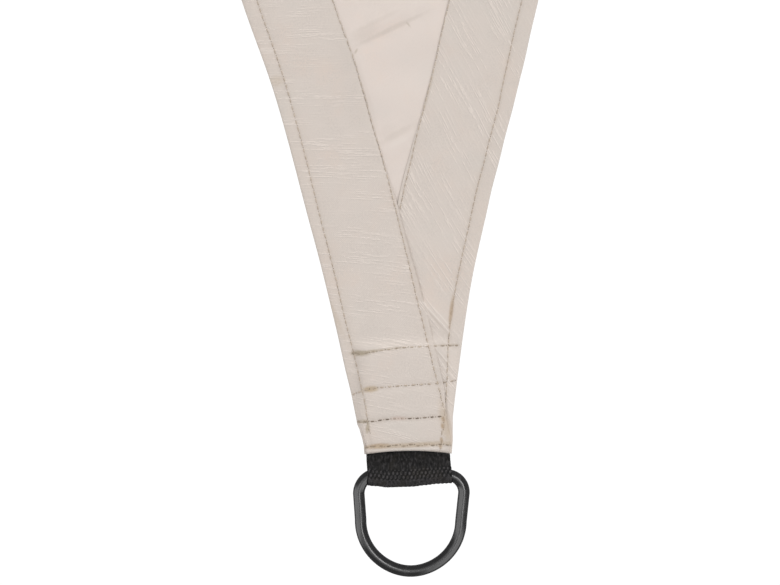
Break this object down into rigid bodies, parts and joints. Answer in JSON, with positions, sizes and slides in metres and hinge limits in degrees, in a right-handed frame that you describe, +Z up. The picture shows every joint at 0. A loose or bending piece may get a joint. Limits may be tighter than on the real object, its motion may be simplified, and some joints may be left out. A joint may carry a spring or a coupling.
{
  "type": "triangular shade sail",
  "caption": "Triangular shade sail of coated woven polyester with hollow-cut hemmed sides, a webbing loop sewn into each blunt corner and a black D-ring held in each loop.",
  "frame": {"origin": "on the floor under the middle of the panel, in the middle of the sail", "axes": "+Z up, +X along the side between corners two and three, -Y towards corner one; the sail lies flat with its hem side up"},
  "size_m": [3.1056, 2.6965, 0.0091],
  "materials": {
    "cloth": "sand beige woven polyester, smooth coated reverse, slubbed face on the hems",
    "webbing": "black ribbed polyester webbing",
    "wire": "black coated steel wire, glossy"
  },
  "bodies": {
    "root": {"sail_cloth": "cloth", "webbing_loop_1": "webbing", "webbing_loop_2": "webbing", "webbing_loop_3": "webbing", "d_ring_1": "wire", "d_ring_2": "wire", "d_ring_3": "wire"}
  },
  "joints": []
}
